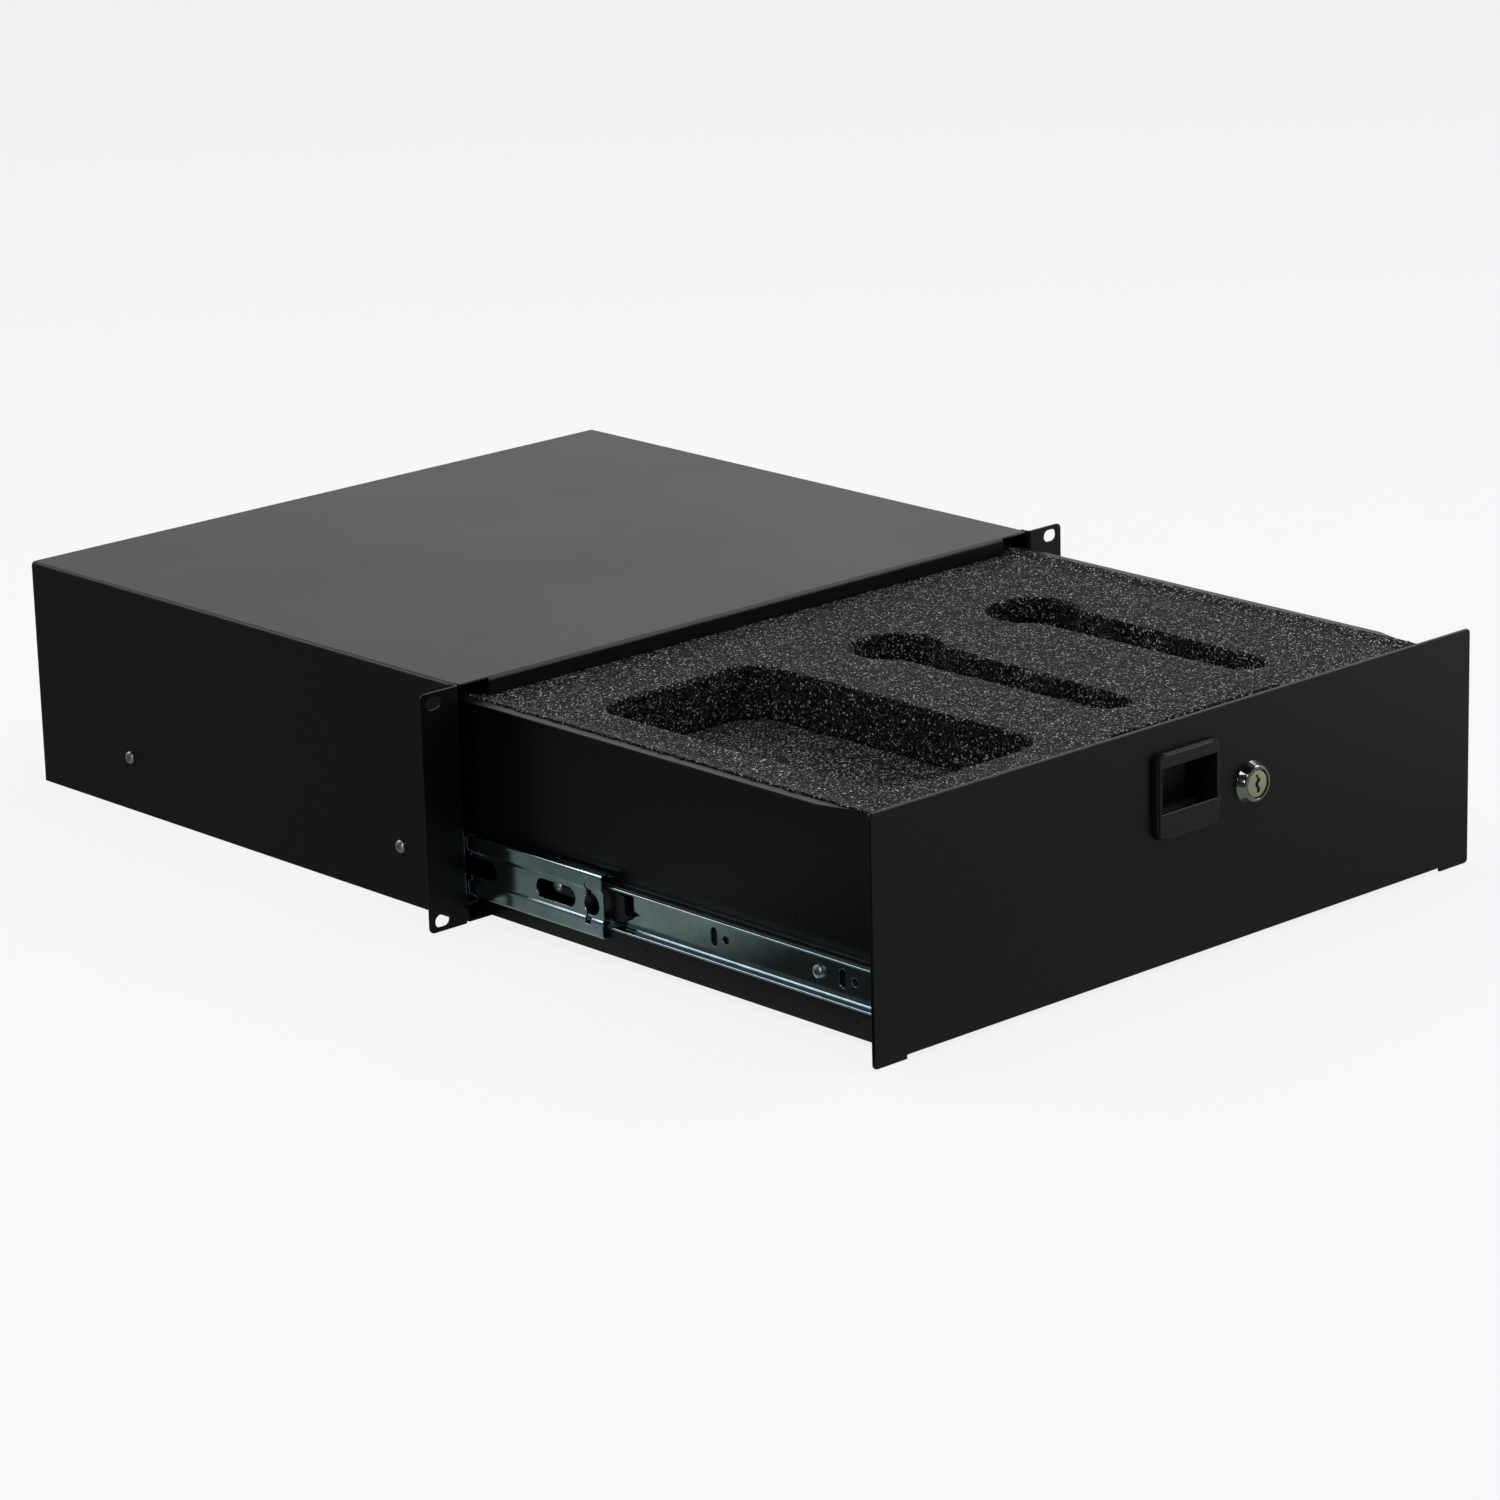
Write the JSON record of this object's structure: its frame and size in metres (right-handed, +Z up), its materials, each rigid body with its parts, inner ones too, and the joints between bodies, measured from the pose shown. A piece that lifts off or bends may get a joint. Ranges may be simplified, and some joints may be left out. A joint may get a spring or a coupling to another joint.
{
  "type": "sliding rack drawer",
  "caption": "Lockable steel rack drawer on telescoping ball slides, drawn open, with a foam tray cut for microphones and a portable drive.",
  "frame": {"origin": "centre of the four rack slots, on the rear face of the ears", "axes": "+X to the right seen from the front, +Y back into the rack, +Z up; at rest the drawer is drawn out"},
  "size_m": [0.4826, 0.7118, 0.1324],
  "materials": {
    "powder_coat": "satin black powder coat",
    "zinc_plated_steel": "bright blue-white zinc plate",
    "ball_steel": "polished bearing steel",
    "spring_steel": "blued spring steel",
    "foam": "charcoal open-cell foam",
    "latch_black": "black moulded nylon",
    "lever_plastic": "black moulded acetal",
    "lock_chrome": "bright chrome plate",
    "lock_nickel": "nickel plate"
  },
  "bodies": {
    "case": {"case_cover": "powder_coat", "case_base": "powder_coat", "left_cabinet_member": "zinc_plated_steel", "right_cabinet_member": "zinc_plated_steel", "case_slide_screws": "zinc_plated_steel"},
    "drawer": {"front_panel": "powder_coat", "left_tray_side": "powder_coat", "right_tray_side": "powder_coat", "tray_floor": "powder_coat", "tray_back": "powder_coat", "foam_base": "foam", "foam_top": "foam", "left_drawer_member": "zinc_plated_steel", "right_drawer_member": "zinc_plated_steel", "tray_slide_screws": "zinc_plated_steel", "latch_housing": "latch_black", "latch_spring": "spring_steel", "lock_body": "lock_chrome", "lock_nut": "lock_nickel", "lever_rivets": "zinc_plated_steel"},
    "latch_bolt": {"latch_bolt": "latch_black"},
    "lock_plug": {"lock_plug": "lock_nickel", "lock_cam": "zinc_plated_steel", "lock_cam_screw": "zinc_plated_steel"},
    "left_intermediate": {"left_intermediate_member": "zinc_plated_steel"},
    "left_outer_retainer": {"left_outer_cage": "zinc_plated_steel", "left_outer_balls": "ball_steel"},
    "left_inner_retainer": {"left_inner_cage": "zinc_plated_steel", "left_inner_balls": "ball_steel"},
    "left_release_lever": {"left_release_lever": "lever_plastic"},
    "right_intermediate": {"right_intermediate_member": "zinc_plated_steel"},
    "right_outer_retainer": {"right_outer_cage": "zinc_plated_steel", "right_outer_balls": "ball_steel"},
    "right_inner_retainer": {"right_inner_cage": "zinc_plated_steel", "right_inner_balls": "ball_steel"},
    "right_release_lever": {"right_release_lever": "lever_plastic"}
  },
  "joints": [
    {"name": "drawer_slide", "type": "slide", "parent": "case", "child": "drawer", "axis": [0, -1, 0], "range_m": [-0.3205, 0.0295]},
    {"name": "left_intermediate_slide", "type": "slide", "parent": "case", "child": "left_intermediate", "axis": [0, -1, 0], "range_m": [-0.11227, 0.01043]},
    {"name": "left_outer_retainer_slide", "type": "slide", "parent": "case", "child": "left_outer_retainer", "axis": [0, -1, 0], "range_m": [-0.05619, 0.00526]},
    {"name": "left_inner_retainer_slide", "type": "slide", "parent": "case", "child": "left_inner_retainer", "axis": [0, -1, 0], "range_m": [-0.21644, 0.02001]},
    {"name": "left_lever_press", "type": "hinge", "parent": "drawer", "child": "left_release_lever", "pos_m": [-0.2049, -0.0913, -0.03435], "axis": [-1, 0, 0], "range_deg": [0, 4], "stiffness_Nm_per_rad": 0.05, "springref_deg": -2.86},
    {"name": "right_intermediate_slide", "type": "slide", "parent": "case", "child": "right_intermediate", "axis": [0, -1, 0], "range_m": [-0.11227, 0.01043]},
    {"name": "right_outer_retainer_slide", "type": "slide", "parent": "case", "child": "right_outer_retainer", "axis": [0, -1, 0], "range_m": [-0.05619, 0.00526]},
    {"name": "right_inner_retainer_slide", "type": "slide", "parent": "case", "child": "right_inner_retainer", "axis": [0, -1, 0], "range_m": [-0.21644, 0.02001]},
    {"name": "right_lever_press", "type": "hinge", "parent": "drawer", "child": "right_release_lever", "pos_m": [0.2049, -0.0913, -0.03435], "axis": [1, 0, 0], "range_deg": [0, 4], "stiffness_Nm_per_rad": 0.05, "springref_deg": -2.86},
    {"name": "latch_press", "type": "slide", "parent": "drawer", "child": "latch_bolt", "axis": [0, 0, -1], "range_m": [0, 0.0044], "stiffness_N_per_m": 800, "springref_m": -0.003, "deforming": ["latch_spring"]},
    {"name": "lock_turn", "type": "hinge", "parent": "drawer", "child": "lock_plug", "pos_m": [0.0495, -0.3243, 0.01985], "axis": [0, -1, 0], "range_deg": [0, 90]}
  ],
  "couplings": [
    {"joint": "left_intermediate_slide", "follows": "drawer_slide", "ratio": 0.35},
    {"joint": "left_outer_retainer_slide", "follows": "drawer_slide", "ratio": 0.175},
    {"joint": "left_inner_retainer_slide", "follows": "drawer_slide", "ratio": 0.675},
    {"joint": "right_intermediate_slide", "follows": "drawer_slide", "ratio": 0.35},
    {"joint": "right_outer_retainer_slide", "follows": "drawer_slide", "ratio": 0.175},
    {"joint": "right_inner_retainer_slide", "follows": "drawer_slide", "ratio": 0.675}
  ]
}
